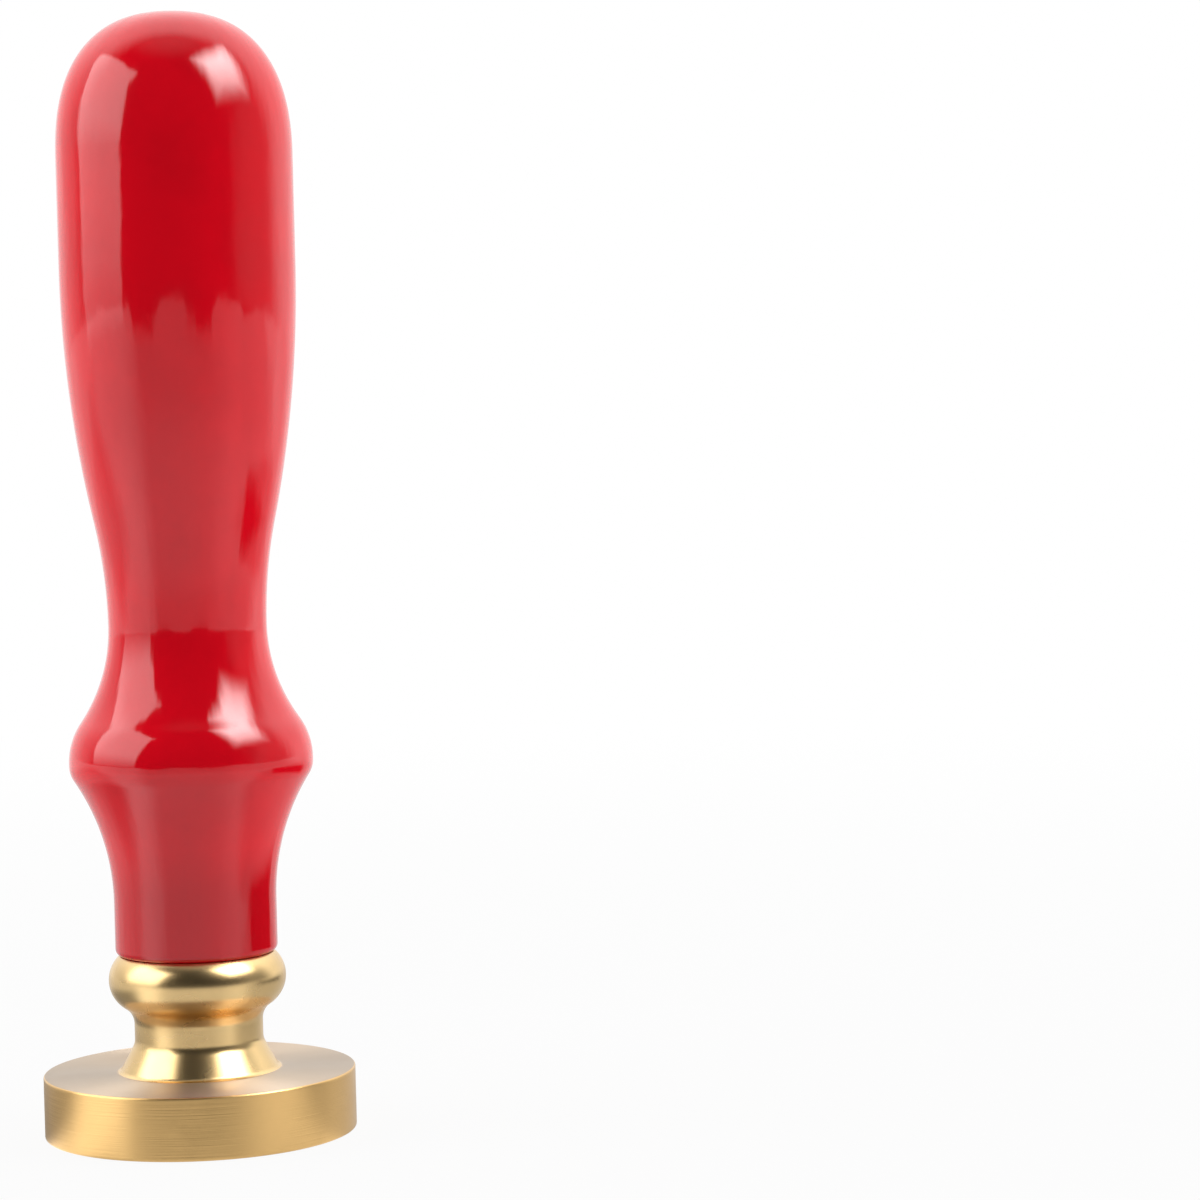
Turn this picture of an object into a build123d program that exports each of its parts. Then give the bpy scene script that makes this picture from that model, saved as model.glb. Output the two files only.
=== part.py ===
from build123d import *
import os
from math import cos, pi, radians, sin, sqrt, tan

# A wax seal stamp: a turned wooden handle screwed by a stud onto an engraved brass seal head.
# Millimetres. +Z is the common axis, from the seal face up to the top of the handle.
# The origin is the centre of the seal face, which is the plane the stamp stands on.

# Brass seal head, turned in one piece: disc, neck and bead
seal_diameter = 25.0
seal_thickness = 5.0
seal_edge_chamfer = 0.2
foot_diameter = 12.8        # of the neck's conical foot, where it stands on the disc
foot_height = 2.3
neck_diameter = 10.3
neck_length = 1.6           # parallel part, between the foot and the cove
neck_cove_radius = 1.6      # from the neck out to the bead
bead_diameter = 14.2
bead_section_radius = 2.6
bead_top_setback = 0.9      # how far the flat seat stands in from the bead's widest ring
hole_mouth_chamfer = 0.4

# Engraving of the seal face
border_margin = 0.9         # plain rim outside the border groove
border_width = 0.55
border_depth = 0.6
dot_margin = 1.25           # from the border groove to the middle of the ring of dots
dot_diameter = 1.0
dot_floor_diameter = 0.5
dot_depth = 0.5
dot_pitch = 1.9
star_margin = 1.3           # from the middle of the ring of dots to the star's long tips
star_tip_step = 2.2         # the short tips stand this far in from the long ones
star_waist_diameter = 4.2
star_depth = 1.1
star_rays = 8

# Wooden handle, from its end on the brass to the top of the dome
end_diameter = 13.0
end_round = 0.6
end_length = 4.3            # parallel part at the brass
flange_diameter = 19.5
flange_length = 0.2         # parallel rim of the flange
flange_round_low = 1.15     # height of the rounding below the rim
flange_round_high = 3.2     # height of the rounding above the rim
flare_length = 11.1         # from the parallel end out to the flange
waist_diameter = 12.65
cove_length = 10.9          # from the flange in to the waist
grip_diameter = 18.8
grip_hollow = 8.3           # hollow part of the grip's swell, from the waist upwards
grip_swell_length = 28.7    # from the waist out to the parallel barrel
grip_barrel_length = 8.4
dome_height = 11.7
dome_fullness = 2.45        # 2 is an ellipse, more is squarer at the shoulder

# Steel stud: machine thread down into the brass, wood thread up into the handle
thread_diameter = 6.0
thread_pitch = 1.0
thread_height_share = 0.61  # height of the machine thread, as a share of its pitch
thread_crest_share = 0.125  # width of its crest, as a share of its pitch
stud_reach = 8.0            # how far the stud stands out of the handle
stud_tip_chamfer = 0.5
machine_run_in = 1.6        # machine thread that stays inside the handle
shank_length = 1.6          # plain part between the two threads
shank_diameter = 5.4
wood_thread_diameter = 6.0
wood_thread_pitch = 2.4
wood_thread_height = 0.8
wood_thread_crest = 0.2
wood_thread_length = 10.0
wood_point_length = 2.8
wood_point_diameter = 1.6
thread_half_angle = 30.0    # between a thread's flank and the plane square to the axis
thread_embed = 0.1          # how deep a thread's ridge is rooted in its core

# Clearances
bore_clearance = 0.05       # on the radius, between the stud and its two bores
bore_run_out = 1.0          # depth left beyond each end of the stud

# Heights of the head's stages above the seal face
seal_radius = seal_diameter / 2
neck_radius = neck_diameter / 2
bead_radius = bead_diameter / 2
bead_centre_radius = bead_radius - bead_section_radius
foot_top = seal_thickness + foot_height
cove_low = foot_top + neck_length
cove_centre_radius = neck_radius + neck_cove_radius
cove_to_bead = bead_section_radius + neck_cove_radius
bead_centre = cove_low + sqrt(cove_to_bead**2 - (cove_centre_radius - bead_centre_radius) ** 2)
seat_radius = bead_radius - bead_top_setback
head_height = bead_centre + sqrt(bead_section_radius**2 - (seat_radius - bead_centre_radius) ** 2)

# Heights of the handle's stages
end_radius = end_diameter / 2
flange_radius = flange_diameter / 2
waist_radius = waist_diameter / 2
grip_radius = grip_diameter / 2
flare_low = head_height + end_length
flange_low = flare_low + flare_length
flange_high = flange_low + flange_length
waist = flange_high + cove_length
barrel_low = waist + grip_swell_length
dome_low = barrel_low + grip_barrel_length

# Heights of the stud's stages
stud_low = head_height - stud_reach
machine_high = head_height + machine_run_in
wood_low = machine_high + shank_length
wood_high = wood_low + wood_thread_length
stud_high = wood_high + wood_point_length


def on_profile(radius, height):
    """A point of a turned outline, in the plane through the axis."""
    return (radius, 0, height)


def turned(*outline):
    """The solid that a closed outline makes when it turns round the axis."""
    return revolve(make_face(outline), Axis.Z)


def s_curve(low, high, first_length):
    """Two tangent arcs, parallel to the axis at both ends, that meet first_length above low."""
    share = first_length / (high[2] - low[2])
    middle = on_profile(low[0] + share * (high[0] - low[0]), low[2] + first_length)
    return [
        TangentArc(low, middle, tangent=(0, 0, 1)),
        TangentArc(high, middle, tangent=(0, 0, -1)),
    ]


def dome(steps=6):
    """The rounded top of the handle, from its parallel barrel to the axis."""
    points = []
    for step in range(steps + 1):
        turn = radians(90 * step / steps)
        across = grip_radius * max(cos(turn), 0) ** (2 / dome_fullness)
        up = dome_height * sin(turn) ** (2 / dome_fullness)
        points.append(on_profile(0 if step == steps else across, dome_low + up))
    return Spline(points, tangents=[(0, 0, 1), (-1, 0, 0)])


def bore(radius, low, high):
    """A plain round hole on the axis."""
    return Pos(0, 0, (low + high) / 2) * Cylinder(radius, high - low)


def engraving():
    """What is cut into the seal face: a border groove, a ring of dots and a faceted star."""
    border_outer = seal_radius - border_margin
    border_inner = border_outer - border_width
    groove = bore(border_outer, 0, border_depth) - bore(border_inner, 0, border_depth)

    dot_ring = border_inner - dot_margin
    dot_count = round(2 * pi * dot_ring / dot_pitch)
    dot = Pos(0, 0, dot_depth / 2) * Cone(dot_diameter / 2, dot_floor_diameter / 2, dot_depth)
    dots = [place * dot for place in PolarLocations(dot_ring, dot_count)]

    long_tip = dot_ring - star_margin
    tips = [long_tip, star_waist_diameter / 2, long_tip - star_tip_step, star_waist_diameter / 2]
    corners = []
    for corner in range(2 * star_rays):
        turn = pi * corner / star_rays
        reach = tips[corner % len(tips)]
        corners.append((reach * cos(turn), reach * sin(turn)))
    star = loft([Polygon(*corners, align=None).face(), Vertex(0, 0, star_depth)], ruled=True)
    return [groove, *dots, star]


def seal_head():
    """The brass head, with its tapped hole drawn as a plain bore that clears the thread."""
    bore_radius = thread_diameter / 2 + bore_clearance
    bore_low = stud_low - bore_run_out
    cove_share = bead_section_radius / cove_to_bead
    bead_foot = on_profile(
        bead_centre_radius + cove_share * (cove_centre_radius - bead_centre_radius),
        bead_centre + cove_share * (cove_low - bead_centre),
    )
    cove_foot = on_profile(neck_radius, cove_low)
    seat_edge = on_profile(seat_radius, head_height)
    body = turned(
        Polyline(
            seat_edge,
            on_profile(bore_radius + hole_mouth_chamfer, head_height),
            on_profile(bore_radius, head_height - hole_mouth_chamfer),
            on_profile(bore_radius, bore_low),
            on_profile(0, bore_low),
            on_profile(0, 0),
            on_profile(seal_radius - seal_edge_chamfer, 0),
            on_profile(seal_radius, seal_edge_chamfer),
            on_profile(seal_radius, seal_thickness - seal_edge_chamfer),
            on_profile(seal_radius - seal_edge_chamfer, seal_thickness),
            on_profile(foot_diameter / 2, seal_thickness),
            on_profile(neck_radius, foot_top),
            cove_foot,
        ),
        TangentArc(cove_foot, bead_foot, tangent=(0, 0, 1)),
        ThreePointArc(bead_foot, on_profile(bead_radius, bead_centre), seat_edge),
    )
    return body - engraving()


def handle():
    """The wooden handle, with the blind bore for the stud in its end."""
    end_edge = on_profile(end_radius - end_round, head_height)
    end_side = on_profile(end_radius, head_height + end_round)
    flare_foot = on_profile(end_radius, flare_low)
    rim_low = on_profile(flange_radius, flange_low)
    rim_high = on_profile(flange_radius, flange_high)
    waist_ring = on_profile(waist_radius, waist)
    barrel_foot = on_profile(grip_radius, barrel_low)
    barrel_head = on_profile(grip_radius, dome_low)
    crown = on_profile(0, dome_low + dome_height)
    body = turned(
        Line(on_profile(0, head_height), end_edge),
        TangentArc(end_side, end_edge, tangent=(0, 0, -1)),
        Line(end_side, flare_foot),
        *s_curve(flare_foot, rim_low, flare_length - flange_round_low),
        Line(rim_low, rim_high),
        *s_curve(rim_high, waist_ring, flange_round_high),
        *s_curve(waist_ring, barrel_foot, grip_hollow),
        Line(barrel_foot, barrel_head),
        dome(),
        Line(crown, on_profile(0, head_height)),
    )
    stud_diameter = max(thread_diameter, shank_diameter, wood_thread_diameter)
    bore_radius = stud_diameter / 2 + bore_clearance
    return body - bore(bore_radius, head_height, stud_high + bore_run_out)


def thread_ridge(low, high, pitch, diameter, height, crest):
    """The helical ridge of a right-hand thread between two heights."""
    root_radius = diameter / 2 - height
    foot = crest / 2 + (height + thread_embed) * tan(radians(thread_half_angle))
    path = Helix(pitch, high - low - 2 * foot, root_radius, center=(0, 0, low + foot))
    section = Plane(path @ 0, x_dir=(1, 0, 0), z_dir=path % 0) * make_face(
        Polyline(
            (-thread_embed, -foot),
            (height, -crest / 2),
            (height, crest / 2),
            (-thread_embed, foot),
            close=True,
        )
    )
    return sweep(section, path, is_frenet=True)


def stud():
    """The double-ended stud: machine thread below, plain shank, wood thread and point above."""
    thread_height = thread_pitch * thread_height_share
    thread_crest = thread_pitch * thread_crest_share
    machine_core = thread_diameter / 2 - thread_height
    wood_core = wood_thread_diameter / 2 - wood_thread_height
    shank_radius = shank_diameter / 2
    core = turned(
        Polyline(
            on_profile(0, stud_low),
            on_profile(machine_core - stud_tip_chamfer, stud_low),
            on_profile(machine_core, stud_low + stud_tip_chamfer),
            on_profile(machine_core, machine_high),
            on_profile(shank_radius, machine_high),
            on_profile(shank_radius, wood_low),
            on_profile(wood_core, wood_low),
            on_profile(wood_core, wood_high),
            on_profile(wood_point_diameter / 2, stud_high),
            on_profile(0, stud_high),
            close=True,
        )
    )
    machine_ridge = thread_ridge(
        stud_low + stud_tip_chamfer, machine_high, thread_pitch,
        thread_diameter, thread_height, thread_crest,
    )
    wood_ridge = thread_ridge(
        wood_low, wood_high, wood_thread_pitch,
        wood_thread_diameter, wood_thread_height, wood_thread_crest,
    )
    return core + machine_ridge + wood_ridge


os.makedirs("parts", exist_ok=True)
for name, piece in {"seal_head": seal_head(), "stud": stud(), "handle": handle()}.items():
    export_step(piece, f"parts/{name}.step")
    print(name, round(piece.volume, 2), piece.bounding_box().size)
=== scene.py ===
from math import atan2, cos, degrees, dist, pi, radians, sin, sqrt, tan

import bmesh
import bpy
from mathutils import Matrix, Vector


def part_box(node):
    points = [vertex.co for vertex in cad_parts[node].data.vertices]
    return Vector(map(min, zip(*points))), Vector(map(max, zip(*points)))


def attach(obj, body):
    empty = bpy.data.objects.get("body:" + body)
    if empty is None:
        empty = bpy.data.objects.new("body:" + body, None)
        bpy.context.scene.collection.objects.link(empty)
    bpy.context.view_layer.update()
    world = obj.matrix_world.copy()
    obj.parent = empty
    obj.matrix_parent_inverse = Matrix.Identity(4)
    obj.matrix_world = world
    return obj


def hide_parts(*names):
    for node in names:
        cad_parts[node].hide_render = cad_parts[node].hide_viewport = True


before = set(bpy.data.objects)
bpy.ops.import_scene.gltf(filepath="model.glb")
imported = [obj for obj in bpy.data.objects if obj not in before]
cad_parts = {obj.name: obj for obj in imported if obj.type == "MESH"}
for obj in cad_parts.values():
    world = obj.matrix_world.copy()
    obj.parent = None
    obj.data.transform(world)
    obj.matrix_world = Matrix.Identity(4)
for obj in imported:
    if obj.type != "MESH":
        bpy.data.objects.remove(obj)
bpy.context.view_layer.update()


# Seal head: one turning of solid brass, a bead and a neck above a thick round disc.
# The bead and the neck are polished, the disc's side keeps the fine lines of the lathe tool.
# The seal face underneath is engraved, and the stud screws into a hole in the bead's seat.

seal_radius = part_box("seal_head")[1].x
head_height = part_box("seal_head")[1].z
seal_thickness = 0.005
seal_edge_round = 0.0002
foot_radius = 0.0064
foot_height = 0.0023
neck_radius = 0.00515
neck_length = 0.0016
neck_round = 0.0014
foot_round = 0.0006
neck_cove_radius = 0.0016
bead_radius = 0.0071
bead_section_radius = 0.0026
bead_top_setback = 0.0009
hole_radius = 0.00305
hole_mouth_chamfer = 0.0004
hole_depth = 0.009

border_margin = 0.0009
border_width = 0.00055
border_depth = 0.0006
dot_margin = 0.00125
dot_radius = 0.0005
dot_floor_radius = 0.00025
dot_depth = 0.0005
dot_count = 32
star_margin = 0.0013
star_tip_step = 0.0022
star_waist_radius = 0.0021
star_depth = 0.0011
star_rays = 8

lathe_segments = 256


def arc(centre, radius, start, end, steps):
    """Points of a round stretch of a turned outline, between two angles in degrees."""
    points = []
    for step in range(steps + 1):
        turn = radians(start + (end - start) * step / steps)
        points.append((centre[0] + radius * cos(turn), centre[1] + radius * sin(turn)))
    return points


def held_flat(outline, hold=0.00005, long_stretch=0.0006):
    """The outline with a point close to both ends of each long straight stretch, to shade it flat."""
    points = [outline[0]]
    for start, end in zip(outline, outline[1:]):
        length = dist(start, end)
        if length > long_stretch:
            for share in (hold / length, 1 - hold / length):
                points.append(tuple(a + share * (b - a) for a, b in zip(start, end)))
        points.append(end)
    return points


def rounded(before, corner, after, radius, steps):
    """Points of the arc that rounds a corner between two straight stretches of an outline."""
    corner = Vector(corner)
    back = (Vector(before) - corner).normalized()
    ahead = (Vector(after) - corner).normalized()
    half_turn = back.angle(ahead) / 2
    centre = corner + (back + ahead).normalized() * radius / sin(half_turn)
    start = corner + back * radius / tan(half_turn) - centre
    end = corner + ahead * radius / tan(half_turn) - centre
    points = []
    for step in range(steps + 1):
        share = step / steps
        reach = (start * (1 - share) + end * share).normalized() * radius
        points.append(tuple(centre + reach))
    return points


def turned(name, outline, capped=True):
    """The skin that an outline of (radius, height) points, from the bottom up, makes round the axis."""
    shape = bmesh.new()
    rings = []
    for radius, height in outline:
        count = lathe_segments if radius > 0 else 1
        turns = [2 * pi * n / lathe_segments for n in range(count)]
        rings.append([shape.verts.new((radius * cos(t), radius * sin(t), height)) for t in turns])
    for low, high in zip(rings, rings[1:]):
        for n in range(lathe_segments):
            m = n + 1
            corners = (low[n % len(low)], low[m % len(low)], high[m % len(high)], high[n % len(high)])
            shape.faces.new(tuple(dict.fromkeys(corners)))
    if capped:
        for ring in (rings[0][::-1], rings[-1]):
            if len(ring) > 1:
                shape.faces.new(ring)
    mesh = bpy.data.meshes.new(name)
    shape.to_mesh(mesh)
    shape.free()
    piece = bpy.data.objects.new(name, mesh)
    bpy.context.scene.collection.objects.link(piece)
    return piece


def node(tree, kind, inputs=None, **settings):
    """Adds a node, with its settings and with a value or another node's output on each named input."""
    made = tree.nodes.new(kind)
    for name, value in settings.items():
        setattr(made, name, value)
    for name, value in (inputs or {}).items():
        socket = made.inputs[name]
        if isinstance(value, bpy.types.NodeSocket):
            tree.links.new(value, socket)
        else:
            socket.default_value = value
    return made


def math(tree, operation, first, second=0.0):
    """The output of a Math node."""
    return node(tree, "ShaderNodeMath", {0: first, 1: second}, operation=operation).outputs[0]


def vector(tree, x, y, z):
    """The output of a Combine XYZ node."""
    return node(tree, "ShaderNodeCombineXYZ", {"X": x, "Y": y, "Z": z}).outputs[0]


def ramp(tree, value, low, high, start=0.0, end=1.0):
    """A smooth step of a value, from start at low to end at high."""
    sizes = {"Value": value, "From Min": low, "From Max": high, "To Min": start, "To Max": end}
    return node(tree, "ShaderNodeMapRange", sizes, interpolation_type="SMOOTHSTEP").outputs[0]


def new_tree(name, kind, inputs, outputs):
    """An empty node group with named inputs, each a socket type and a value, and named outputs."""
    tree = bpy.data.node_groups.new(name, kind)
    for label, (socket_type, value) in inputs.items():
        socket = tree.interface.new_socket(label, in_out="INPUT", socket_type=socket_type)
        if value is not None:
            socket.default_value = value
    for label, socket_type in outputs.items():
        tree.interface.new_socket(label, in_out="OUTPUT", socket_type=socket_type)
    return tree, tree.nodes.new("NodeGroupInput").outputs, tree.nodes.new("NodeGroupOutput").inputs


def grown(piece, tree, sizes):
    """Runs a tree of geometry nodes on a piece and keeps the result as the piece's plain mesh."""
    modifier = piece.modifiers.new(tree.name, "NODES")
    modifier.node_group = tree
    for socket in tree.interface.items_tree:
        if socket.name in sizes:
            modifier[socket.identifier] = sizes[socket.name]
    evaluated = piece.evaluated_get(bpy.context.evaluated_depsgraph_get())
    mesh = bpy.data.meshes.new_from_object(evaluated)
    piece.modifiers.clear()
    piece.data = mesh


def shade(piece, crease):
    """Smooth shading, with the edges that turn by more than a crease angle in degrees left sharp."""
    piece.data.shade_smooth()
    piece.data.set_sharp_from_angle(angle=radians(crease))


def head_outline():
    """Half section of the head, from the seal face round the disc and the bead into the hole."""
    bead_centre_radius = bead_radius - bead_section_radius
    foot_top = seal_thickness + foot_height
    cove_low = foot_top + neck_length
    cove_centre_radius = neck_radius + neck_cove_radius
    inward = cove_centre_radius - bead_centre_radius
    upward = sqrt((bead_section_radius + neck_cove_radius) ** 2 - inward**2)
    bead_centre = (bead_centre_radius, cove_low + upward)
    bead_foot_angle = degrees(atan2(upward, inward))
    seat_edge = bead_radius - bead_top_setback
    seat_angle = degrees(atan2(head_height - bead_centre[1], seat_edge - bead_centre_radius))
    edge_radius = seal_radius - seal_edge_round
    foot = (foot_radius, seal_thickness)
    neck_foot = (neck_radius, foot_top)
    cove_centre = (cove_centre_radius, cove_low)
    edge_steps = 6
    round_steps = 8
    cove_steps = 16
    bead_steps = 40
    bead = arc(bead_centre, bead_section_radius, -bead_foot_angle, seat_angle, bead_steps)
    return [
        *arc((edge_radius, seal_edge_round), seal_edge_round, -90, 0, edge_steps),
        *arc((edge_radius, seal_thickness - seal_edge_round), seal_edge_round, 0, 90, edge_steps),
        *rounded((edge_radius, seal_thickness), foot, neck_foot, foot_round, round_steps),
        *rounded(foot, neck_foot, (neck_radius, cove_low), neck_round, round_steps),
        *arc(cove_centre, neck_cove_radius, 180, 180 - bead_foot_angle, cove_steps),
        *bead[1:-1],
        (seat_edge, head_height),
        (hole_radius + hole_mouth_chamfer, head_height),
        (hole_radius, head_height - hole_mouth_chamfer),
        (hole_radius, head_height - hole_depth),
    ]


# A tree that cuts a border groove, a ring of dots and a faceted star into a flat face at height 0.
engraving, given, result = new_tree(
    "engraving",
    "GeometryNodeTree",
    {
        "Geometry": ("NodeSocketGeometry", None),
        "Border Radius": ("NodeSocketFloat", 0.01),
        "Border Width": ("NodeSocketFloat", 0.001),
        "Border Depth": ("NodeSocketFloat", 0.001),
        "Dot Ring Radius": ("NodeSocketFloat", 0.008),
        "Dot Count": ("NodeSocketInt", 32),
        "Dot Radius": ("NodeSocketFloat", 0.0005),
        "Dot Floor Radius": ("NodeSocketFloat", 0.0003),
        "Dot Depth": ("NodeSocketFloat", 0.0005),
        "Long Ray": ("NodeSocketFloat", 0.007),
        "Short Ray": ("NodeSocketFloat", 0.006),
        "Ray Waist": ("NodeSocketFloat", 0.002),
        "Star Rays": ("NodeSocketInt", 8),
        "Star Depth": ("NodeSocketFloat", 0.001),
        "Metal": ("NodeSocketMaterial", None),
    },
    {"Geometry": "NodeSocketGeometry"},
)
border_ring = node(
    engraving,
    "GeometryNodeCurvePrimitiveCircle",
    {"Resolution": lathe_segments, "Radius": given["Border Radius"]},
)
border_section = node(
    engraving,
    "GeometryNodeCurvePrimitiveQuadrilateral",
    {
        "Width": math(engraving, "MULTIPLY", given["Border Depth"], 2.0),
        "Height": given["Border Width"],
    },
)
border = node(
    engraving,
    "GeometryNodeCurveToMesh",
    {"Curve": border_ring.outputs[0], "Profile Curve": border_section.outputs[0]},
)
dot_places = node(
    engraving,
    "GeometryNodeMeshCircle",
    {"Vertices": given["Dot Count"], "Radius": given["Dot Ring Radius"]},
)
dot_slope = math(engraving, "SUBTRACT", given["Dot Radius"], given["Dot Floor Radius"])
dot_segments = 24
dot_cutter = node(
    engraving,
    "GeometryNodeMeshCone",
    {
        "Vertices": dot_segments,
        "Radius Top": given["Dot Floor Radius"],
        "Radius Bottom": math(engraving, "ADD", given["Dot Radius"], dot_slope),
        "Depth": math(engraving, "MULTIPLY", given["Dot Depth"], 2.0),
    },
)
dot_drop = vector(engraving, 0.0, 0.0, math(engraving, "MULTIPLY", given["Dot Depth"], -1.0))
dots = node(
    engraving,
    "GeometryNodeInstanceOnPoints",
    {
        "Points": dot_places.outputs[0],
        "Instance": node(
            engraving,
            "GeometryNodeTransform",
            {"Geometry": dot_cutter.outputs["Mesh"], "Translation": dot_drop},
        ).outputs[0],
    },
)
star_overshoot = 0.2
star_cutter = node(
    engraving,
    "GeometryNodeMeshCone",
    {
        "Vertices": math(engraving, "MULTIPLY", given["Star Rays"], 2.0),
        "Radius Top": 0.0,
        "Radius Bottom": 1.0 + star_overshoot,
        "Depth": math(engraving, "MULTIPLY", given["Star Depth"], 1.0 + star_overshoot),
    },
)
corner_place = node(engraving, "GeometryNodeInputPosition").outputs[0]
corner = node(engraving, "ShaderNodeSeparateXYZ", {0: corner_place})
corner_turn = math(engraving, "ARCTAN2", corner.outputs["Y"], corner.outputs["X"])
on_tip = math(
    engraving,
    "GREATER_THAN",
    math(engraving, "COSINE", math(engraving, "MULTIPLY", corner_turn, given["Star Rays"])),
)
half_rays = math(engraving, "MULTIPLY", given["Star Rays"], 0.5)
on_long_tip = math(
    engraving,
    "GREATER_THAN",
    math(engraving, "COSINE", math(engraving, "MULTIPLY", corner_turn, half_rays)),
)
tip_reach = node(
    engraving,
    "GeometryNodeSwitch",
    {"Switch": on_long_tip, "False": given["Short Ray"], "True": given["Long Ray"]},
    input_type="FLOAT",
)
reach = node(
    engraving,
    "GeometryNodeSwitch",
    {"Switch": on_tip, "False": given["Ray Waist"], "True": tip_reach.outputs[0]},
    input_type="FLOAT",
)
star_drop = math(engraving, "MULTIPLY", given["Star Depth"], -star_overshoot)
star = node(
    engraving,
    "GeometryNodeSetPosition",
    {
        "Geometry": star_cutter.outputs["Mesh"],
        "Position": vector(
            engraving,
            math(engraving, "MULTIPLY", corner.outputs["X"], reach.outputs[0]),
            math(engraving, "MULTIPLY", corner.outputs["Y"], reach.outputs[0]),
            math(engraving, "ADD", corner.outputs["Z"], star_drop),
        ),
    },
)
cutters = node(engraving, "GeometryNodeJoinGeometry")
for cutter in (border, dots, star):
    engraving.links.new(cutter.outputs[0], cutters.inputs[0])
cut = node(
    engraving,
    "GeometryNodeMeshBoolean",
    {
        "Mesh 1": given["Geometry"],
        "Mesh 2": node(engraving, "GeometryNodeRealizeInstances", {0: cutters.outputs[0]}).outputs[0],
    },
    operation="DIFFERENCE",
    solver="EXACT",
)
finished = node(
    engraving,
    "GeometryNodeSetMaterial",
    {"Geometry": cut.outputs[0], "Material": given["Metal"]},
)
engraving.links.new(finished.outputs[0], result[0])

# Where a point lies on the lathe: its distance from the axis and its height, in millimetres, and
# the direction that it faces round the axis.
lathe_place, given, result = new_tree(
    "lathe_place",
    "ShaderNodeTree",
    {},
    {"Radius": "NodeSocketFloat", "Height": "NodeSocketFloat", "Around": "NodeSocketVector"},
)
in_mm = node(
    lathe_place,
    "ShaderNodeVectorMath",
    {0: node(lathe_place, "ShaderNodeTexCoord").outputs["Object"], "Scale": 1000.0},
    operation="SCALE",
)
at = node(lathe_place, "ShaderNodeSeparateXYZ", {0: in_mm.outputs[0]})
level = vector(lathe_place, at.outputs["X"], at.outputs["Y"], 0.0)
radius = node(lathe_place, "ShaderNodeVectorMath", {0: level}, operation="LENGTH")
around = node(lathe_place, "ShaderNodeVectorMath", {0: level}, operation="NORMALIZE")
lathe_place.links.new(radius.outputs["Value"], result["Radius"])
lathe_place.links.new(at.outputs["Z"], result["Height"])
lathe_place.links.new(around.outputs[0], result["Around"])

# Fine lines that a cutting tool leaves round a turned surface.
lathe_lines, given, result = new_tree(
    "lathe_lines",
    "ShaderNodeTree",
    {"Lines per mm": ("NodeSocketFloat", 4.0), "Breaks": ("NodeSocketFloat", 0.5)},
    {"Lines": "NodeSocketFloat"},
)
place = node(lathe_lines, "ShaderNodeGroup", node_tree=lathe_place).outputs
section = vector(
    lathe_lines,
    math(lathe_lines, "MULTIPLY", place["Radius"], given["Lines per mm"]),
    math(lathe_lines, "MULTIPLY", place["Height"], given["Lines per mm"]),
    0.0,
)
broken = node(
    lathe_lines,
    "ShaderNodeVectorMath",
    {0: place["Around"], 1: vector(lathe_lines, given["Breaks"], given["Breaks"], 0.0), 2: section},
    operation="MULTIPLY_ADD",
)
line_noise = node(
    lathe_lines,
    "ShaderNodeTexNoise",
    {"Vector": broken.outputs[0], "Scale": 1.0, "Detail": 3.0, "Roughness": 0.6},
)
lathe_lines.links.new(line_noise.outputs["Fac"], result["Lines"])

# Faint cloudy marks of handling, which make a gloss uneven.
smudges, given, result = new_tree(
    "smudges",
    "ShaderNodeTree",
    {"Size mm": ("NodeSocketFloat", 4.0)},
    {"Smudges": "NodeSocketFloat"},
)
smudge_noise = node(
    smudges,
    "ShaderNodeTexNoise",
    {
        "Vector": node(smudges, "ShaderNodeTexCoord").outputs["Object"],
        "Scale": math(smudges, "DIVIDE", 1000.0, given["Size mm"]),
        "Detail": 4.0,
        "Roughness": 0.55,
    },
)
smudges.links.new(ramp(smudges, smudge_noise.outputs["Fac"], 0.35, 0.7), result["Smudges"])


def mixed(tree, share, first, second):
    """The output of a mix of two colours."""
    return node(tree, "ShaderNodeMix", {0: share, 6: first, 7: second}, data_type="RGBA").outputs[2]


def mixed_value(tree, share, first, second):
    """The output of a mix of two numbers."""
    return node(tree, "ShaderNodeMix", {0: share, 2: first, 3: second}, data_type="FLOAT").outputs[0]


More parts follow.
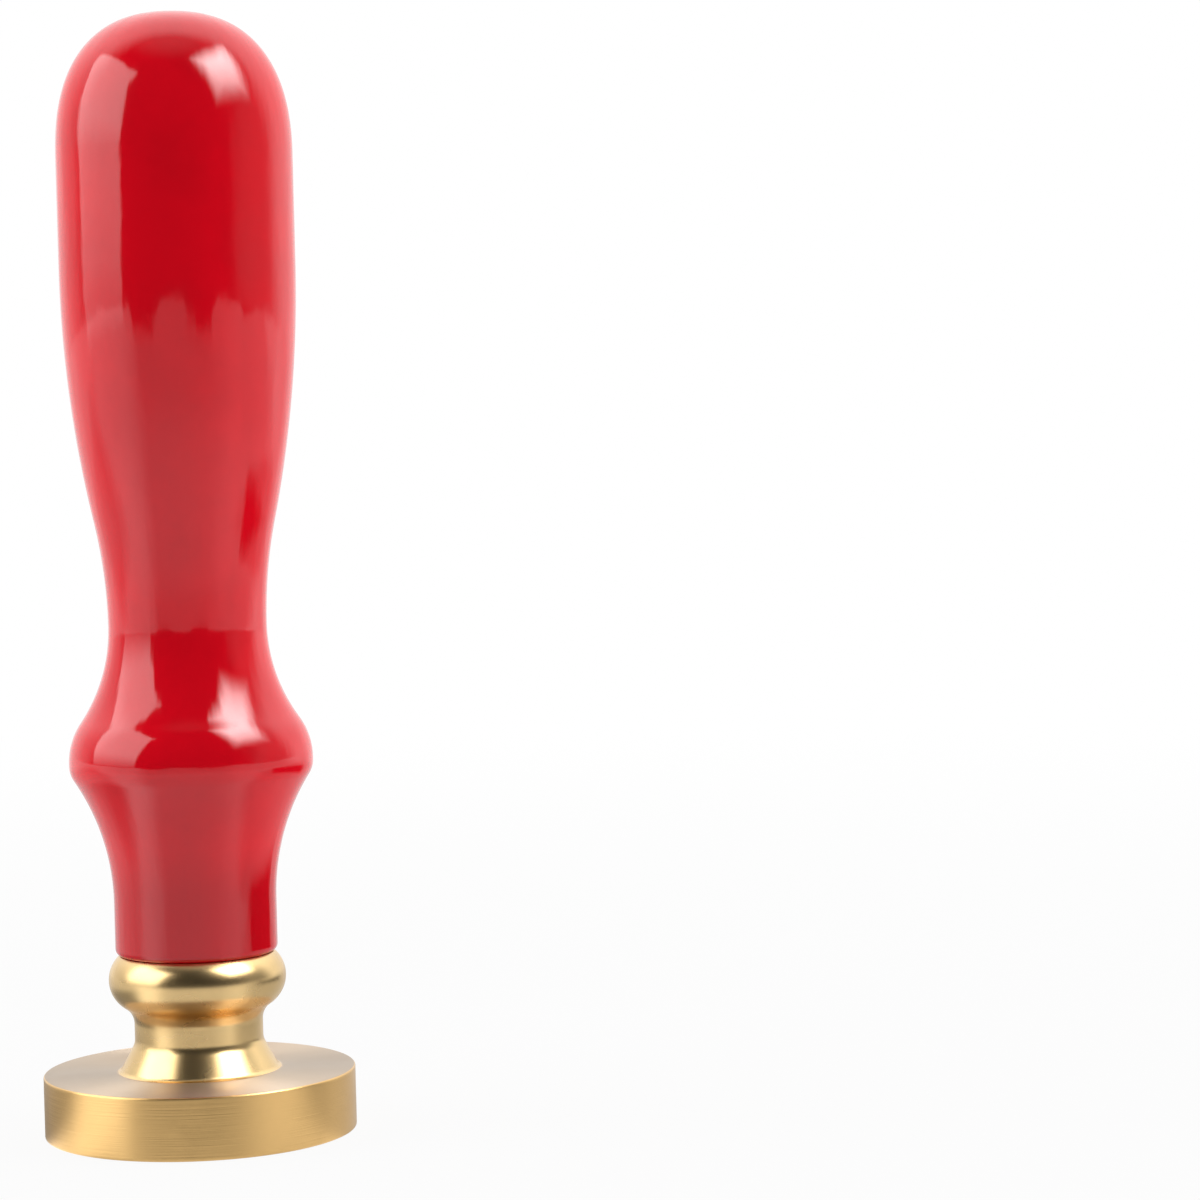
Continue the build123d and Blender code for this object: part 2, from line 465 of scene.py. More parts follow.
def turned_brass(name, stretch):
    """Brass with polished bead and neck, satin disc, a rougher top with a painted reflection, and matte
    engraving.

    The stretch draws its highlights out across the tool lines.
    """
    polished_colour = (0.86, 0.61, 0.29, 1)
    satin_colour = (0.86, 0.55, 0.22, 1)
    # Painted reflection: a pale grey for the disc's top that stands in for the white wall it mirrors.
    painted_reflection_colour = (0.57, 0.465, 0.36, 1)
    tarnish_colour = (0.52, 0.33, 0.13, 1)
    engraved_colour = (0.84, 0.70, 0.48, 1)
    disc_start = 6.4
    disc_top = 5.0
    rim_inside = 12.2
    star_floor = 1.1
    cove_start = 8.4
    cove_end = 10.8
    tarnish_share = 0.45
    base_tarnish = 0.35
    polish = 0.24
    satin_haze = 0.06
    mark_haze = 0.06
    matte_haze = 0.28
    top_matte = 0.7
    line_depth = 0.000022
    polished_line_share = 0.05
    material = bpy.data.materials.new(name)
    material.use_nodes = True
    tree = material.node_tree
    shader = tree.nodes["Principled BSDF"]
    place = node(tree, "ShaderNodeGroup", node_tree=lathe_place).outputs
    line_sizes = {"Lines per mm": 7.0, "Breaks": 1.2}
    lines = node(tree, "ShaderNodeGroup", line_sizes, node_tree=lathe_lines).outputs[0]
    marks = node(tree, "ShaderNodeGroup", {"Size mm": 5.0}, node_tree=smudges).outputs[0]
    on_disc = ramp(tree, place["Radius"], disc_start, disc_start + 0.2)
    below_top = ramp(tree, place["Height"], disc_top + 0.05, disc_top + 0.02)
    satin = math(tree, "MULTIPLY", on_disc, below_top)
    at_top = ramp(tree, place["Height"], disc_top - 0.05, disc_top - 0.01)
    top_face_mask = math(tree, "MULTIPLY", satin, at_top)
    above_face = ramp(tree, place["Height"], 0.01, 0.06)
    inside_rim = ramp(tree, place["Radius"], rim_inside + 0.05, rim_inside - 0.05)
    below_floor = ramp(tree, place["Height"], star_floor + 0.3, star_floor + 0.1)
    in_face = math(tree, "MULTIPLY", above_face, inside_rim)
    engraved = math(tree, "MULTIPLY", in_face, below_floor)
    in_cove = math(
        tree,
        "MULTIPLY",
        ramp(tree, place["Height"], cove_start, cove_start + 1.0),
        ramp(tree, place["Height"], cove_end, cove_end - 1.0),
    )
    tarnish = math(tree, "MULTIPLY", math(tree, "ADD", in_cove, base_tarnish), marks)

    colour = mixed(tree, satin, polished_colour, satin_colour)
    colour = mixed(tree, math(tree, "MULTIPLY", tarnish, tarnish_share), colour, tarnish_colour)
    # Painted reflection: the disc's top face is painted pale grey; its higher roughness below is the
    # metal's own finish.
    colour = mixed(tree, top_face_mask, colour, painted_reflection_colour)
    colour = mixed(tree, engraved, colour, engraved_colour)
    tree.links.new(colour, shader.inputs["Base Color"])
    shader.inputs["Metallic"].default_value = 1.0

    gloss = math(tree, "MULTIPLY_ADD", satin, satin_haze)
    gloss.node.inputs[2].default_value = polish
    uneven = math(tree, "MULTIPLY_ADD", marks, mark_haze)
    tree.links.new(gloss, uneven.node.inputs[2])
    dull = math(tree, "MAXIMUM", engraved, math(tree, "MULTIPLY", top_face_mask, top_matte))
    matte = math(tree, "MULTIPLY_ADD", dull, matte_haze)
    tree.links.new(uneven, matte.node.inputs[2])
    tree.links.new(matte, shader.inputs["Roughness"])

    across_lines = node(tree, "ShaderNodeTangent", direction_type="RADIAL", axis="Z").outputs[0]
    tree.links.new(across_lines, shader.inputs["Tangent"])
    shader.inputs["Anisotropic Rotation"].default_value = 0.25
    shader.inputs["Anisotropic"].default_value = stretch
    side = math(tree, "SUBTRACT", satin, top_face_mask)
    depth = math(tree, "MULTIPLY", lines, math(tree, "MAXIMUM", side, polished_line_share))
    bump = node(tree, "ShaderNodeBump", {"Height": depth, "Distance": line_depth, "Strength": 1.0})
    tree.links.new(bump.outputs[0], shader.inputs["Normal"])
    return material


polished_brass = turned_brass("polished_brass", stretch=0.0)
satin_brass = turned_brass("satin_brass", stretch=0.8)
border_radius = seal_radius - border_margin - border_width / 2
dot_ring_radius = border_radius - border_width / 2 - dot_margin
long_ray = dot_ring_radius - star_margin
seal_head = turned("seal_head_brass", held_flat(head_outline()))
grown(
    seal_head,
    engraving,
    {
        "Border Radius": border_radius,
        "Border Width": border_width,
        "Border Depth": border_depth,
        "Dot Ring Radius": dot_ring_radius,
        "Dot Count": dot_count,
        "Dot Radius": dot_radius,
        "Dot Floor Radius": dot_floor_radius,
        "Dot Depth": dot_depth,
        "Long Ray": long_ray,
        "Short Ray": long_ray - star_tip_step,
        "Ray Waist": star_waist_radius,
        "Star Rays": star_rays,
        "Star Depth": star_depth,
        "Metal": polished_brass,
    },
)
seal_head.data.materials.clear()
for metal in (polished_brass, satin_brass):
    seal_head.data.materials.append(metal)
satin_top = 1.001 * seal_thickness
for face in seal_head.data.polygons:
    on_disc = dist(face.center.xy, (0, 0)) > foot_radius and face.center.z < satin_top
    face.material_index = 1 if on_disc else 0
shade(seal_head, 30)
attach(seal_head, "head")
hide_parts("seal_head")


# Stud: a double-ended steel screw with a bright zinc plating, rolled from one rod.
# Its machine thread screws down into the brass head, a plain shank lies in the joint, and its
# coarse wood thread is glued up into the handle's bore.

stud_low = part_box("stud")[0].z
stud_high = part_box("stud")[1].z
thread_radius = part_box("stud")[1].x
machine_pitch = 0.001
machine_height = 0.00061
machine_crest = 0.000125
machine_run_in = 0.0016
machine_high = head_height + machine_run_in
stud_tip_chamfer = 0.0005
shank_radius = 0.0027
shank_length = 0.0016
shank_round = 0.00015
wood_thread_length = 0.010
wood_low = machine_high + shank_length
wood_high = wood_low + wood_thread_length
wood_pitch = 0.0024
wood_height = 0.0008
wood_crest = 0.0002
wood_point_radius = 0.0008
thread_half_angle = 30
thread_embed = 0.0001
thread_segments = 64

# A tree that runs one helical ridge of a right-hand thread round a core.
thread, given, result = new_tree(
    "thread",
    "GeometryNodeTree",
    {
        "Geometry": ("NodeSocketGeometry", None),
        "Ridge Radius": ("NodeSocketFloat", 0.0025),
        "Ridge Height": ("NodeSocketFloat", 0.0006),
        "Foot Width": ("NodeSocketFloat", 0.0008),
        "Crest Width": ("NodeSocketFloat", 0.0001),
        "Start": ("NodeSocketFloat", 0.0),
        "Rise": ("NodeSocketFloat", 0.008),
        "Turns": ("NodeSocketFloat", 8.0),
        "Metal": ("NodeSocketMaterial", None),
    },
    {"Geometry": "NodeSocketGeometry"},
)
helix = node(
    thread,
    "GeometryNodeCurveSpiral",
    {
        "Resolution": thread_segments,
        "Rotations": given["Turns"],
        "Start Radius": given["Ridge Radius"],
        "End Radius": given["Ridge Radius"],
        "Height": given["Rise"],
    },
)
level_helix = node(thread, "GeometryNodeSetCurveNormal", {"Curve": helix.outputs[0]}, mode="Z_UP")
ridge_section = node(
    thread,
    "GeometryNodeCurvePrimitiveQuadrilateral",
    {
        "Height": given["Ridge Height"],
        "Bottom Width": given["Foot Width"],
        "Top Width": given["Crest Width"],
        "Offset": 0.0,
    },
    mode="TRAPEZOID",
)
outward_section = node(
    thread,
    "GeometryNodeTransform",
    {"Geometry": ridge_section.outputs[0], "Rotation": (0.0, 0.0, radians(90))},
)
ridge = node(
    thread,
    "GeometryNodeCurveToMesh",
    {
        "Curve": level_helix.outputs[0],
        "Profile Curve": outward_section.outputs[0],
        "Fill Caps": True,
    },
)
raised = node(
    thread,
    "GeometryNodeTransform",
    {"Geometry": ridge.outputs[0], "Translation": vector(thread, 0.0, 0.0, given["Start"])},
)
joined = node(thread, "GeometryNodeMeshBoolean", operation="UNION", solver="EXACT")
for shape in (given["Geometry"], raised.outputs[0]):
    thread.links.new(shape, joined.inputs["Mesh 2"])
finished = node(
    thread,
    "GeometryNodeSetMaterial",
    {
        "Geometry": node(thread, "GeometryNodeRealizeInstances", {0: joined.outputs[0]}).outputs[0],
        "Material": given["Metal"],
    },
)
thread.links.new(finished.outputs[0], result[0])


def thread_sizes(low, high, pitch, height, crest, metal):
    """The thread tree's inputs for a thread between two heights."""
    foot = crest + 2 * (height + thread_embed) * tan(radians(thread_half_angle))
    rise = high - low - foot
    return {
        "Ridge Radius": thread_radius - (height + thread_embed) / 2,
        "Ridge Height": height + thread_embed,
        "Foot Width": foot,
        "Crest Width": crest,
        "Start": low + foot / 2,
        "Rise": rise,
        "Turns": rise / pitch,
        "Metal": metal,
    }


def zinc_plated_steel():
    """Zinc plating: a cool grey metal with rolling lines and cloudy bloom."""
    bright_colour = (0.66, 0.67, 0.69, 1)
    bloom_colour = (0.50, 0.50, 0.49, 1)
    material = bpy.data.materials.new("zinc_plated_steel")
    material.use_nodes = True
    tree = material.node_tree
    shader = tree.nodes["Principled BSDF"]
    line_sizes = {"Lines per mm": 9.0, "Breaks": 3.0}
    lines = node(tree, "ShaderNodeGroup", line_sizes, node_tree=lathe_lines).outputs[0]
    marks = node(tree, "ShaderNodeGroup", {"Size mm": 1.5}, node_tree=smudges).outputs[0]
    tree.links.new(mixed(tree, marks, bright_colour, bloom_colour), shader.inputs["Base Color"])
    shader.inputs["Metallic"].default_value = 1.0
    tree.links.new(ramp(tree, marks, 0.0, 1.0, 0.24, 0.42), shader.inputs["Roughness"])
    bump = node(tree, "ShaderNodeBump", {"Height": lines, "Distance": 0.000004, "Strength": 1.0})
    tree.links.new(bump.outputs[0], shader.inputs["Normal"])
    return material


zinc = zinc_plated_steel()
machine_core = thread_radius - machine_height
wood_core = thread_radius - wood_height
stud = turned(
    "stud_steel",
    [
        (machine_core - stud_tip_chamfer, stud_low),
        (machine_core, stud_low + stud_tip_chamfer),
        (machine_core, machine_high),
        *arc((shank_radius - shank_round, machine_high + shank_round), shank_round, -90, 0, 4),
        *arc((shank_radius - shank_round, wood_low - shank_round), shank_round, 0, 90, 4),
        (wood_core, wood_low),
        (wood_core, wood_high),
        (wood_point_radius, stud_high),
    ],
)
machine_low = stud_low + stud_tip_chamfer
threads = (
    (machine_low, machine_high, machine_pitch, machine_height, machine_crest),
    (wood_low, wood_high, wood_pitch, wood_height, wood_crest),
)
for sizes in threads:
    grown(stud, thread, thread_sizes(*sizes, zinc))
shade(stud, 35)
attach(stud, "stud")
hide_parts("stud")


# Handle: close-grained beech, turned between centres and dipped in thick glossy red lacquer.
# It swells from a waist to a domed grip, with a flange for the fingers below the waist.
# Its lower end is left bare where it stands on the brass, with the stud's bore in its middle.

grip_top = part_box("handle")[1].z
flange_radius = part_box("handle")[1].x
end_radius = 0.0065
end_round = 0.0006
end_length = 0.0043
flare_length = 0.0111
flange_length = 0.0002
flange_round_low = 0.00115
flange_round_high = 0.0032
waist_radius = 0.006325
cove_length = 0.0109
grip_radius = 0.0094
grip_hollow = 0.0083
grip_swell_length = 0.0287
dome_height = 0.0117
dome_fullness = 2.45
bore_radius = 0.00305
bore_depth = 0.017


def s_curve(low, high, first_length, steps):
    """Points of two arcs, upright at both ends, that meet first_length above the low end."""
    rise = high[1] - low[1]
    out = high[0] - low[0]
    points = []
    for step in range(1, steps + 1):
        up = rise * step / steps
        if up <= first_length:
            length, along, start, sign = first_length, up, low[0], 1
        else:
            length, along, start, sign = rise - first_length, rise - up, high[0], -1
        offset = out * length / rise
        bend = (length**2 + offset**2) / (2 * offset)
        swing = sqrt(bend**2 - along**2)
        reach = bend - swing if bend > 0 else bend + swing
        points.append((start + sign * reach, low[1] + up))
    return points


def handle_outline():
    """Half section of the handle, from the bore round the end, flange, waist and grip to the top."""
    flare_low = head_height + end_length
    flange_low = flare_low + flare_length
    flange_high = flange_low + flange_length
    waist = flange_high + cove_length
    barrel_low = waist + grip_swell_length
    barrel_high = grip_top - dome_height
    end_steps = 8
    flare_steps = 56
    cove_steps = 48
    swell_steps = 60
    dome_steps = 48
    flare_hollow = flare_length - flange_round_low
    outline = [
        (bore_radius, head_height + bore_depth),
        (bore_radius, head_height),
        *arc((end_radius - end_round, head_height + end_round), end_round, -90, 0, end_steps),
        (end_radius, flare_low),
    ]
    outline += s_curve(outline[-1], (flange_radius, flange_low), flare_hollow, flare_steps)
    outline.append((flange_radius, flange_high))
    outline += s_curve(outline[-1], (waist_radius, waist), flange_round_high, cove_steps)
    outline += s_curve(outline[-1], (grip_radius, barrel_low), grip_hollow, swell_steps)
    for step in range(dome_steps):
        turn = radians(90 * step / dome_steps)
        across = grip_radius * cos(turn) ** (2 / dome_fullness)
        up = dome_height * sin(turn) ** (2 / dome_fullness)
        outline.append((across, barrel_high + up))
    outline.append((0, grip_top))
    return outline


def red_lacquer():
    """Thick red lacquer: high gloss over faint grain, with flow ripples, a few pinholes and painted
    shade towards the lower end.
    """
    red = (0.73, 0.0009, 0.010, 1)
    deep_red = (0.67, 0.0007, 0.009, 1)
    # Painted shade: a darker red for the handle's lower end, where less light reaches.
    painted_shade_red = (0.54, 0.0006, 0.007, 1)
    pit_colour = (0.12, 0.004, 0.006, 1)
    painted_shade_start = 24.0
    painted_shade_full = 19.0
    grain_count = 5.0
    grain_stretch = 0.16
    pits_per_metre = 160.0
    pit_rarity = 0.93
    pit_rim = 0.035
    pit_floor = 0.015
    pit_tint = 0.8
    line_share = 0.03
    pit_share = 0.5
    ripple_depth = 0.00004
    material = bpy.data.materials.new("red_lacquer")
    material.use_nodes = True
    tree = material.node_tree
    shader = tree.nodes["Principled BSDF"]
    place = node(tree, "ShaderNodeGroup", node_tree=lathe_place).outputs
    marks = node(tree, "ShaderNodeGroup", {"Size mm": 6.0}, node_tree=smudges).outputs[0]
    line_sizes = {"Lines per mm": 1.2, "Breaks": 0.8}
    lines = node(tree, "ShaderNodeGroup", line_sizes, node_tree=lathe_lines).outputs[0]
    upward = vector(tree, 0.0, 0.0, math(tree, "MULTIPLY", place["Height"], grain_stretch))
    along = node(
        tree,
        "ShaderNodeVectorMath",
        {0: place["Around"], 1: (grain_count, grain_count, 0.0), 2: upward},
        operation="MULTIPLY_ADD",
    )
    grain_sizes = {"Vector": along.outputs[0], "Scale": 1.0, "Detail": 2.0}
    grain = node(tree, "ShaderNodeTexNoise", grain_sizes).outputs[0]

    spots = node(
        tree,
        "ShaderNodeTexVoronoi",
        {"Vector": node(tree, "ShaderNodeTexCoord").outputs["Object"], "Scale": pits_per_metre},
    )
    chance = node(tree, "ShaderNodeSeparateColor", {0: spots.outputs["Color"]}).outputs[0]
    rare = math(tree, "GREATER_THAN", chance, pit_rarity)
    pit = math(tree, "MULTIPLY", ramp(tree, spots.outputs["Distance"], pit_rim, pit_floor), rare)

    colour = mixed(tree, marks, red, deep_red)
    # Painted shade: the red darkens from 24 mm down to 19 mm above the seal face, over the flare and
    # the lower end.
    colour = mixed(tree, ramp(tree, place["Height"], painted_shade_start, painted_shade_full), colour, painted_shade_red)
    colour = mixed(tree, math(tree, "MULTIPLY", pit, pit_tint), colour, pit_colour)
    tree.links.new(colour, shader.inputs["Base Color"])
    tree.links.new(ramp(tree, marks, 0.0, 1.0, 0.06, 0.10), shader.inputs["Roughness"])
    shader.inputs["IOR"].default_value = 1.6
    ripple = math(tree, "ADD", grain, math(tree, "MULTIPLY", lines, line_share))
    ripple = math(tree, "SUBTRACT", ripple, math(tree, "MULTIPLY", pit, pit_share))
    bump = node(tree, "ShaderNodeBump", {"Height": ripple, "Distance": ripple_depth, "Strength": 1.0})
    tree.links.new(bump.outputs[0], shader.inputs["Normal"])
    return material


def bare_beech():
    """Bare end grain: growth rings and short rays, stained by the lacquer near the edge."""
    early_wood = (0.60, 0.40, 0.23, 1)
    late_wood = (0.42, 0.25, 0.13, 1)
    stain = (0.45, 0.02, 0.02, 1)
    pith = (0.02, 0.011, 0.0)
    rings_per_metre = 260.0
    stain_start = 5.4
    stain_full = 6.0
    material = bpy.data.materials.new("bare_beech")
    material.use_nodes = True
    tree = material.node_tree
    shader = tree.nodes["Principled BSDF"]
    place = node(tree, "ShaderNodeGroup", node_tree=lathe_place).outputs
    marks = node(tree, "ShaderNodeGroup", {"Size mm": 1.2}, node_tree=smudges).outputs[0]
    centred = node(
        tree,
        "ShaderNodeMapping",
        {"Vector": node(tree, "ShaderNodeTexCoord").outputs["Object"], "Location": pith},
    )
    rings = node(
        tree,
        "ShaderNodeTexWave",
        {"Vector": centred.outputs[0], "Scale": rings_per_metre, "Distortion": 1.5, "Detail": 2.0},
        wave_type="RINGS",
        rings_direction="Z",
    ).outputs["Fac"]
    rim = math(tree, "MULTIPLY_ADD", marks, 0.8)
    tree.links.new(place["Radius"], rim.node.inputs[2])
    colour = mixed(tree, rings, early_wood, late_wood)
    colour = mixed(tree, ramp(tree, rim, stain_start, stain_full), colour, stain)
    tree.links.new(colour, shader.inputs["Base Color"])
    tree.links.new(ramp(tree, marks, 0.0, 1.0, 0.55, 0.75), shader.inputs["Roughness"])
    bump = node(tree, "ShaderNodeBump", {"Height": rings, "Distance": 0.00002, "Strength": 1.0})
    tree.links.new(bump.outputs[0], shader.inputs["Normal"])
    return material


handle = turned("handle_wood", held_flat(handle_outline()))
handle.data.materials.append(red_lacquer())
handle.data.materials.append(bare_beech())
bare_top = head_height + 0.1 * end_round
bore_top = head_height + 1.01 * bore_depth
for face in handle.data.polygons:
    in_bore = dist(face.center.xy, (0, 0)) < bore_radius and face.center.z < bore_top
    face.material_index = 1 if in_bore or face.center.z < bare_top else 0
shade(handle, 35)
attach(handle, "handle")
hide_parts("handle")


# Table and backdrop: a sheet of white paper that runs to white behind the stamp.
# The paper is cut out under the seal face, where nothing can see it from above.

floor_drop = 0.00003
floor_radius = 4.0
floor = turned(
    "floor",
    [(floor_radius, -floor_drop), (seal_radius - border_margin / 2, -floor_drop)],
    capped=False,
)


def white_sweep():
    """White paper: it bounces light and takes a shadow, and it reads as white where it is seen.

    A scalloped edge in front and two shaded patches beside the stamp show only in reflections.
    """
    paper = (0.52, 0.52, 0.52, 1)
    near_share = 0.93
    front_near = 0.74
    front_far = 0.52
    left_white = 0.65
    right_white = 0.25
    near = 60.0
    far = 400.0
    sheet_near = 0.6
    sheet_spread = 2.5
    scallops = 6.5
    scallop_start = 0.7
    ragged_share = 2.4
    beyond_level = 0.05
    shadow_depth = 0.6
    shadow_near = 30.0
    shadow_far = 70.0
    band_depth = 0.95
    band_near = 60.0
    band_full = 95.0
    band_fade = 170.0
    band_far = 240.0
    material = bpy.data.materials.new("white_sweep")
    material.use_nodes = True
    tree = material.node_tree
    tree.nodes.remove(tree.nodes["Principled BSDF"])
    diffuse = node(tree, "ShaderNodeBsdfDiffuse", {"Color": paper})
    place = node(tree, "ShaderNodeGroup", node_tree=lathe_place).outputs
    spot = node(tree, "ShaderNodeTexCoord").outputs["Object"]
    toward = node(tree, "ShaderNodeSeparateXYZ", {0: spot})
    facing = node(tree, "ShaderNodeSeparateXYZ", {0: place["Around"]}).outputs
    swing = math(tree, "ARCTAN2", facing["X"], math(tree, "MULTIPLY", facing["Y"], -1.0))
    waves = math(tree, "MULTIPLY_ADD", swing, scallops)
    waves.node.inputs[2].default_value = scallop_start
    ragged_sizes = {"Vector": place["Around"], "Scale": 5.0, "Detail": 3.0}
    ragged = node(tree, "ShaderNodeTexNoise", ragged_sizes).outputs[0]
    ragged = math(tree, "MULTIPLY", ragged, ragged_share)
    scallop = math(tree, "ADD", math(tree, "COSINE", waves), ragged)
    edge = math(tree, "MULTIPLY_ADD", ramp(tree, scallop, 0.6, 1.8), sheet_spread)
    edge.node.inputs[2].default_value = sheet_near
    beyond = math(tree, "SUBTRACT", math(tree, "MULTIPLY", toward.outputs["Y"], -1.0), edge)
    light_path = node(tree, "ShaderNodeLightPath").outputs
    looked_at = math(tree, "MAXIMUM", light_path["Is Camera Ray"], light_path["Is Transmission Ray"])
    distant = ramp(tree, place["Radius"], near, far)
    front_level = ramp(tree, distant, 0.0, 1.0, front_near, front_far)
    back_level = ramp(tree, toward.outputs["Y"], 0.02, 0.3)
    back_level = mixed_value(tree, back_level, front_level, 1.0)
    left_turn = math(tree, "SUBTRACT", facing["Y"], math(tree, "MULTIPLY", distant, 0.35))
    left_level = math(
        tree,
        "MULTIPLY",
        ramp(tree, facing["X"], -0.6, -0.9, 0.0, left_white),
        ramp(tree, left_turn, 0.0, -0.35),
    )
    right_turn = math(tree, "SUBTRACT", facing["Y"], distant)
    right_level = math(
        tree,
        "MULTIPLY",
        ramp(tree, facing["X"], 0.4, 0.9, 0.0, right_white),
        ramp(tree, right_turn, -0.3, -0.6, -0.6, 1.0),
    )
    mirrored = math(tree, "ADD", back_level, math(tree, "ADD", left_level, right_level))
    mirrored = math(tree, "MULTIPLY", mirrored, ramp(tree, beyond, -0.1, 0.5, 1.0, beyond_level))
    left_side = ramp(tree, facing["X"], -0.3, -0.7)
    back_side = ramp(tree, facing["Y"], -0.35, 0.1)
    close_by = ramp(tree, place["Radius"], shadow_far, shadow_near, 0.0, shadow_depth)
    own_shadow = math(tree, "MULTIPLY", math(tree, "MULTIPLY", left_side, back_side), close_by)
    mirrored = math(tree, "MULTIPLY", mirrored, math(tree, "SUBTRACT", 1.0, own_shadow))
    right_facing = math(
        tree,
        "MULTIPLY",
        ramp(tree, facing["X"], 0.72, 0.84),
        ramp(tree, facing["Y"], -0.25, -0.1),
    )
    right_band = math(
        tree,
        "MULTIPLY",
        ramp(tree, place["Radius"], band_near, band_full),
        ramp(tree, place["Radius"], band_far, band_fade, 0.0, band_depth),
    )
    right_shadow = math(tree, "MULTIPLY", right_facing, right_band)
    mirrored = math(tree, "MULTIPLY", mirrored, math(tree, "SUBTRACT", 1.0, right_shadow))
    away = math(tree, "MULTIPLY", mirrored, math(tree, "SUBTRACT", 1.0, looked_at))
    whiteness = math(tree, "ADD", looked_at, away)
    glow = node(tree, "ShaderNodeEmission", {"Color": (1, 1, 1, 1), "Strength": whiteness})
    eye_share = math(tree, "MULTIPLY", looked_at, mixed_value(tree, distant, near_share, 1.0))
    share = math(tree, "MAXIMUM", eye_share, light_path["Is Glossy Ray"])
    lit = node(tree, "ShaderNodeMixShader", {0: share, 1: diffuse.outputs[0], 2: glow.outputs[0]})
    behind = node(tree, "ShaderNodeNewGeometry").outputs["Backfacing"]
    clear = node(tree, "ShaderNodeBsdfTransparent")
    whole = node(tree, "ShaderNodeMixShader", {0: behind, 1: lit.outputs[0], 2: clear.outputs[0]})
    tree.links.new(whole.outputs[0], tree.nodes["Material Output"].inputs["Surface"])
    return material


floor.data.materials.append(white_sweep())


# Light: a dim room with a white wall behind the stamp, a strong soft lamp above on the right, a
# weaker one on the left and two broad fills that no gloss shows. The room in front stays dark,
# which keeps the lacquer deep.

room_dark = 0.035
room_white = 1.0
high_white = 0.45
front_ceiling = 0.45
right_side = 0.25
wall_start = 0.1
wall_full = 0.55
wall_rake = 0.35
left_wall = 0.65


def studio_room():
    """The surroundings: white to the eye, and dark in front and white behind to the surfaces."""
    world = bpy.data.worlds.new("studio_room")
    world.use_nodes = True
    tree = world.node_tree
    direction = node(tree, "ShaderNodeTexCoord").outputs["Generated"]
    toward = node(tree, "ShaderNodeSeparateXYZ", {0: direction})
    raked = math(tree, "MULTIPLY_ADD", toward.outputs["Z"], wall_rake)
    tree.links.new(toward.outputs["Y"], raked.node.inputs[2])
    height = ramp(tree, toward.outputs["Z"], 0.2, 0.7, room_white, room_white + high_white)
    left_shade = ramp(tree, toward.outputs["X"], -0.95, -0.5, left_wall, 1.0)
    shaded = math(tree, "MULTIPLY", height, left_shade)
    wall = math(tree, "MULTIPLY", ramp(tree, raked, wall_start, wall_full), shaded)
    overhead = ramp(tree, toward.outputs["Z"], 0.82, 1.02, room_dark, front_ceiling)
    side = ramp(tree, toward.outputs["X"], 0.75, 0.97, 0.0, right_side)
    surroundings = math(tree, "MAXIMUM", math(tree, "ADD", wall, side), overhead)
    seen = node(tree, "ShaderNodeLightPath").outputs["Is Camera Ray"]
    strength = math(tree, "MAXIMUM", surroundings, seen)
    background = tree.nodes["Background"]
    background.inputs["Color"].default_value = (1, 1, 1, 1)
    tree.links.new(strength, background.inputs["Strength"])
    bpy.context.scene.world = world


def softbox(
    name, place, aim, width, height, radiance, soft, low, fade=0.4, for_gloss=True, for_diffuse=True
):
    """A rectangular lamp of a given radiance, with soft edges and a dimmer lower side, on a point."""
    lamp = bpy.data.lights.new(name, "AREA")
    lamp.shape = "RECTANGLE"
    lamp.size = width
    lamp.size_y = height
    lamp.energy = radiance * pi * width * height
    lamp.use_nodes = True
    tree = lamp.node_tree
    on_lamp = node(tree, "ShaderNodeNewGeometry").outputs["Parametric"]
    spot = node(tree, "ShaderNodeSeparateXYZ", {0: on_lamp})
    across = math(tree, "SUBTRACT", spot.outputs["X"], 0.5)
    upright = math(tree, "SUBTRACT", spot.outputs["Y"], 0.5)
    edge = math(tree, "MAXIMUM", math(tree, "ABSOLUTE", across), math(tree, "ABSOLUTE", upright))
    level = ramp(tree, upright, -0.5, fade - 0.5, low, 1.0)
    strength = math(tree, "MULTIPLY", ramp(tree, edge, 0.5, 0.5 - soft), level)
    tree.links.new(strength, tree.nodes["Emission"].inputs["Strength"])
    piece = bpy.data.objects.new(name, lamp)
    bpy.context.scene.collection.objects.link(piece)
    turn = (Vector(aim) - Vector(place)).to_track_quat("-Z", "Y").to_matrix().to_4x4()
    piece.matrix_world = Matrix.Translation(place) @ turn
    piece.visible_camera = False
    piece.visible_glossy = for_gloss
    piece.visible_diffuse = for_diffuse


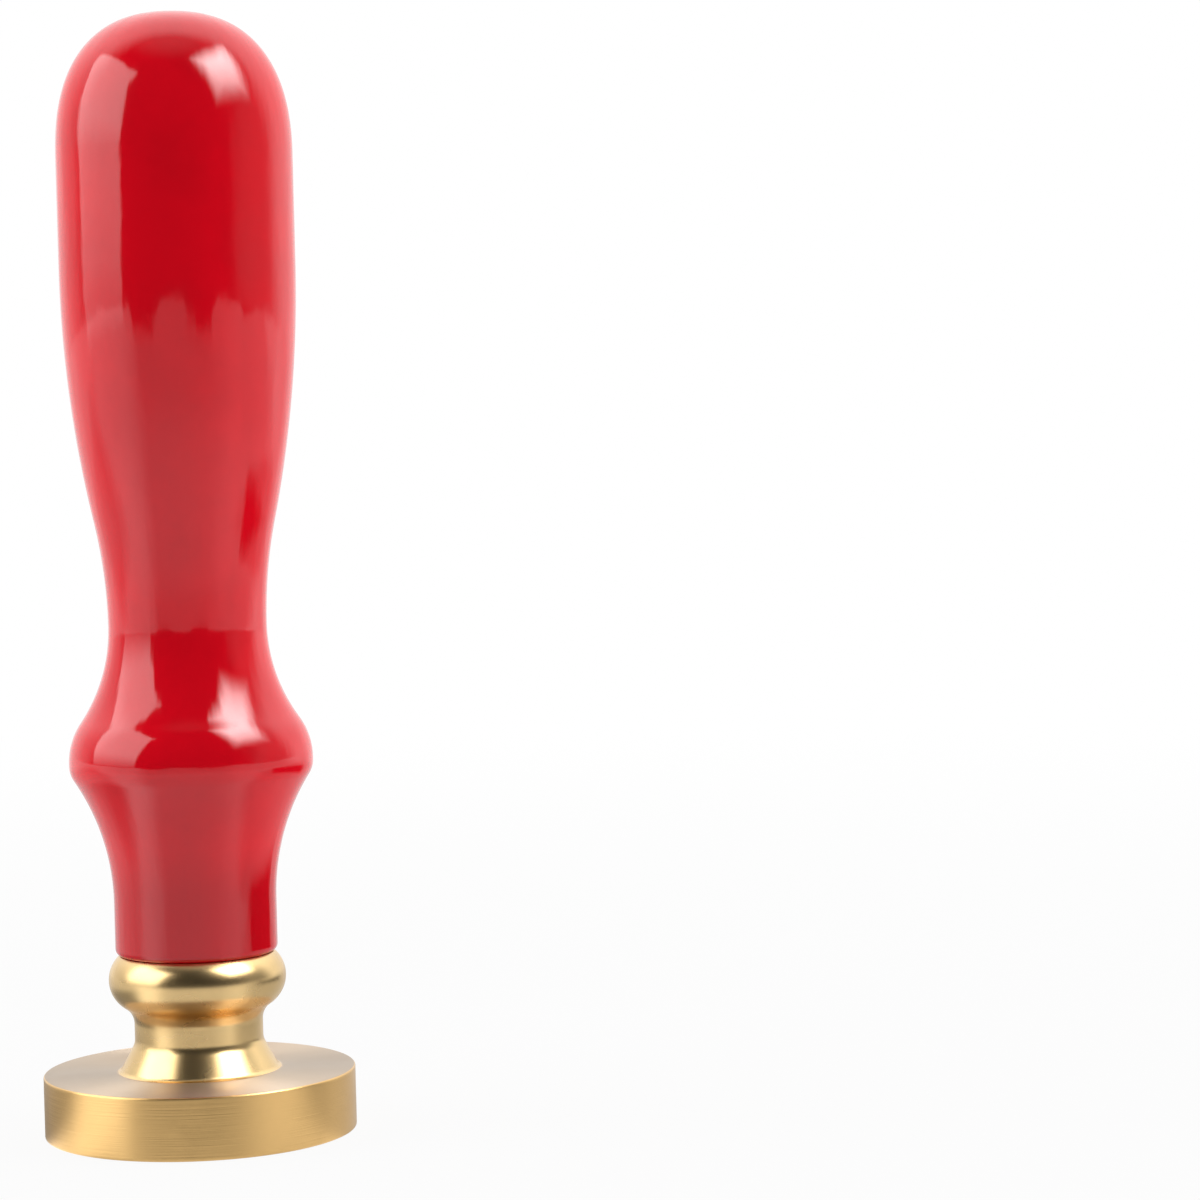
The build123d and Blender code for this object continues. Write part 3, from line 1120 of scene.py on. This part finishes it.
studio_room()
grip_middle = (0.0, 0.0, 0.055)
right_place = (0.497, -0.232, 0.5665)
left_place = (-0.716, -0.133, 0.374)
fill_left_place = (-0.80, 0.15, 0.25)
fill_right_place = (0.78, -0.14, 0.22)
right_lamp = {"aim": grip_middle, "width": 0.66, "height": 0.62, "soft": 0.35}
left_lamp = {"aim": grip_middle, "width": 0.84, "height": 0.80, "soft": 0.07}
fill = {"aim": grip_middle, "width": 0.90, "height": 0.90, "soft": 0.2, "low": 1.0, "for_gloss": False}
softbox("lamp_right", right_place, radiance=12.0, low=0.25, fade=0.7, for_diffuse=False, **right_lamp)
softbox("key_right", right_place, radiance=5.0, low=1.0, for_gloss=False, **right_lamp)
softbox("lamp_left", left_place, radiance=2.8, low=0.3, **left_lamp)
softbox("fill_left", fill_left_place, radiance=1.5, **fill)
softbox("fill_right", fill_right_place, radiance=3.6, **fill)


# Camera: level with the grip and a little above the disc, leaning slightly, as the photograph was
# taken. Two points of the stamp's axis are set on the pixels where the photograph shows them.

photo_width = 1200
sensor_width = 36.0
lens = 100.23
camera_place = Vector((0.0, -0.270, 0.054))
foot_pixel = (202.0, 1129.6)
crown_pixel = (170.4, 13.4)


def sight_frame(first, second):
    """A right-handed frame on two directions, as the columns of a matrix."""
    ahead = first.normalized()
    across = ahead.cross(second).normalized()
    return Matrix((ahead, across, ahead.cross(across))).transposed()


def through_pixel(pixel):
    """The direction from the lens through a pixel of the photograph, in the camera's own frame."""
    focal_length = lens / sensor_width * photo_width
    middle = photo_width / 2
    return Vector((pixel[0] - middle, middle - pixel[1], -focal_length))


def photograph_camera():
    """The camera that sees the foot and the crown of the stamp at their pixels."""
    data = bpy.data.cameras.new("camera")
    data.sensor_width = sensor_width
    data.lens = lens
    data.clip_start = 0.01
    camera = bpy.data.objects.new("camera", data)
    bpy.context.scene.collection.objects.link(camera)
    foot = Vector((0.0, 0.0, 0.0)) - camera_place
    crown = Vector((0.0, 0.0, grip_top)) - camera_place
    seen = sight_frame(through_pixel(foot_pixel), through_pixel(crown_pixel))
    turn = sight_frame(foot, crown) @ seen.transposed()
    camera.matrix_world = Matrix.Translation(camera_place) @ turn.to_4x4()
    bpy.context.scene.camera = camera


photograph_camera()
bpy.context.scene.view_settings.view_transform = "Standard"
